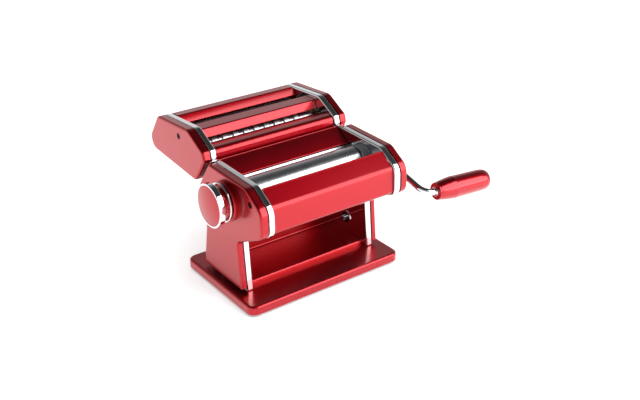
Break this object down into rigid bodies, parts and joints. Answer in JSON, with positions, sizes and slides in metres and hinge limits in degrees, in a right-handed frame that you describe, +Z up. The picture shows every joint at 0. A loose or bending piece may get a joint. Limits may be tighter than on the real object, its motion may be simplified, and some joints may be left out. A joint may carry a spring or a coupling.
{
  "type": "pasta roller machine",
  "caption": "Hand-cranked table machine with two smooth rollers set by a knob, on a stand, and a lift-off attachment with wide and fine cutting rollers.",
  "frame": {"origin": "on the table, in the centre of the four feet", "axes": "+X along the rollers towards the crank, +Y to the back, where the cutter hangs, +Z up"},
  "size_m": [0.3315, 0.2398, 0.1683],
  "materials": {
    "red_enamel": "satin",
    "grip_lacquer": "gloss",
    "chrome": "polished",
    "roller_steel": "satin",
    "plain_steel": "brushed",
    "black_oxide": "blackened",
    "gear_steel": "machined",
    "bearing_bronze": "machined",
    "grey_plastic": "moulded",
    "black_rubber": "moulded"
  },
  "bodies": {
    "stand": {"base_plate": "red_enamel", "rubber_feet": "black_rubber", "base_screws": "plain_steel", "stand_tray": "red_enamel", "left_side_frame": "chrome", "right_side_frame": "chrome", "left_side_cover": "red_enamel", "right_side_cover": "red_enamel", "cover_posts": "plain_steel", "cover_screws": "black_oxide", "front_cover": "red_enamel", "hopper_plate": "red_enamel", "rear_panel": "red_enamel", "docking_rails": "plain_steel", "clamp_ferrule": "chrome", "roller_shields": "grey_plastic", "shield_plates": "plain_steel", "tie_rods": "plain_steel", "tie_rod_nuts": "plain_steel", "scrapers": "plain_steel", "rear_bushes": "bearing_bronze", "left_bearing_bridge": "plain_steel", "right_bearing_bridge": "plain_steel", "knob_boss": "red_enamel", "crank_bezel": "chrome"},
    "drive_train": {"rear_roller": "roller_steel", "rear_gear": "gear_steel", "drive_socket": "plain_steel"},
    "crank": {"crank_rod": "chrome"},
    "grip": {"crank_grip": "grip_lacquer", "grip_ring": "grip_lacquer"},
    "gap_shaft": {"gap_spindle": "plain_steel", "gap_cams": "gear_steel", "knob_spring": "plain_steel"},
    "gap_knob": {"knob_hub": "red_enamel", "knob_ring": "chrome", "knob_cap": "red_enamel"},
    "gap_carriage": {"bearing_blocks": "grey_plastic"},
    "front_roller_set": {"front_roller": "roller_steel", "front_gear": "gear_steel"},
    "cutter": {"cutter_left_frame": "chrome", "cutter_right_frame": "chrome", "cutter_left_cover": "red_enamel", "cutter_right_cover": "red_enamel", "cutter_nose_cover": "red_enamel", "cutter_divider": "red_enamel", "cutter_rear_cover": "red_enamel", "cutter_tie_rods": "plain_steel", "cutter_bushes": "bearing_bronze", "cutter_combs": "grey_plastic", "cutter_posts": "plain_steel", "cutter_screws": "black_oxide"},
    "wide_driver": {"wide_rear_roller": "roller_steel", "wide_rear_gear": "gear_steel"},
    "wide_follower": {"wide_front_roller": "roller_steel", "wide_front_gear": "gear_steel"},
    "fine_driver": {"fine_rear_roller": "roller_steel", "fine_rear_gear": "gear_steel"},
    "fine_follower": {"fine_front_roller": "roller_steel", "fine_front_gear": "gear_steel"}
  },
  "joints": [
    {"name": "drive_spin", "type": "hinge", "parent": "stand", "child": "drive_train", "pos_m": [0, 0.0166, 0.1166], "axis": [1, 0, 0], "continuous": true},
    {"name": "crank_pull", "type": "slide", "parent": "drive_train", "child": "crank", "axis": [1, 0, 0], "range_m": [0, 0.03]},
    {"name": "grip_spin", "type": "hinge", "parent": "crank", "child": "grip", "pos_m": [0.12621, -0.07737, 0.0824], "axis": [0.9962, -0.0819, -0.0298], "continuous": true},
    {"name": "knob_turn", "type": "hinge", "parent": "stand", "child": "gap_shaft", "pos_m": [0, -0.0181, 0.1166], "axis": [1, 0, 0], "range_deg": [0, 324]},
    {"name": "knob_pull", "type": "slide", "parent": "gap_shaft", "child": "gap_knob", "axis": [-1, 0, 0], "range_m": [0, 0.004], "stiffness_N_per_m": 500, "springref_m": -0.002, "deforming": ["knob_spring"]},
    {"name": "gap_slide", "type": "slide", "parent": "stand", "child": "gap_carriage", "axis": [0, -1, 0], "range_m": [0, 0.003]},
    {"name": "front_roller_spin", "type": "hinge", "parent": "gap_carriage", "child": "front_roller_set", "pos_m": [0, -0.0181, 0.1166], "axis": [1, 0, 0], "continuous": true},
    {"name": "cutter_lift", "type": "slide", "parent": "stand", "child": "cutter", "axis": [0, -0.5782, 0.8159], "range_m": [0, 0.05]},
    {"name": "wide_cutter_spin", "type": "hinge", "parent": "cutter", "child": "wide_driver", "pos_m": [0, 0.0662, 0.14167], "axis": [1, 0, 0], "continuous": true},
    {"name": "wide_cutter_follow", "type": "hinge", "parent": "cutter", "child": "wide_follower", "pos_m": [0, 0.0484, 0.1398], "axis": [1, 0, 0], "continuous": true},
    {"name": "fine_cutter_spin", "type": "hinge", "parent": "cutter", "child": "fine_driver", "pos_m": [0, 0.10419, 0.14566], "axis": [1, 0, 0], "continuous": true},
    {"name": "fine_cutter_follow", "type": "hinge", "parent": "cutter", "child": "fine_follower", "pos_m": [0, 0.08639, 0.14379], "axis": [1, 0, 0], "continuous": true}
  ],
  "couplings": [
    {"joint": "front_roller_spin", "follows": "drive_spin", "ratio": -1},
    {"joint": "knob_turn", "follows": "gap_slide", "rad_per_m": 1885},
    {"joint": "wide_cutter_follow", "follows": "wide_cutter_spin", "ratio": -1},
    {"joint": "fine_cutter_follow", "follows": "fine_cutter_spin", "ratio": -1}
  ]
}
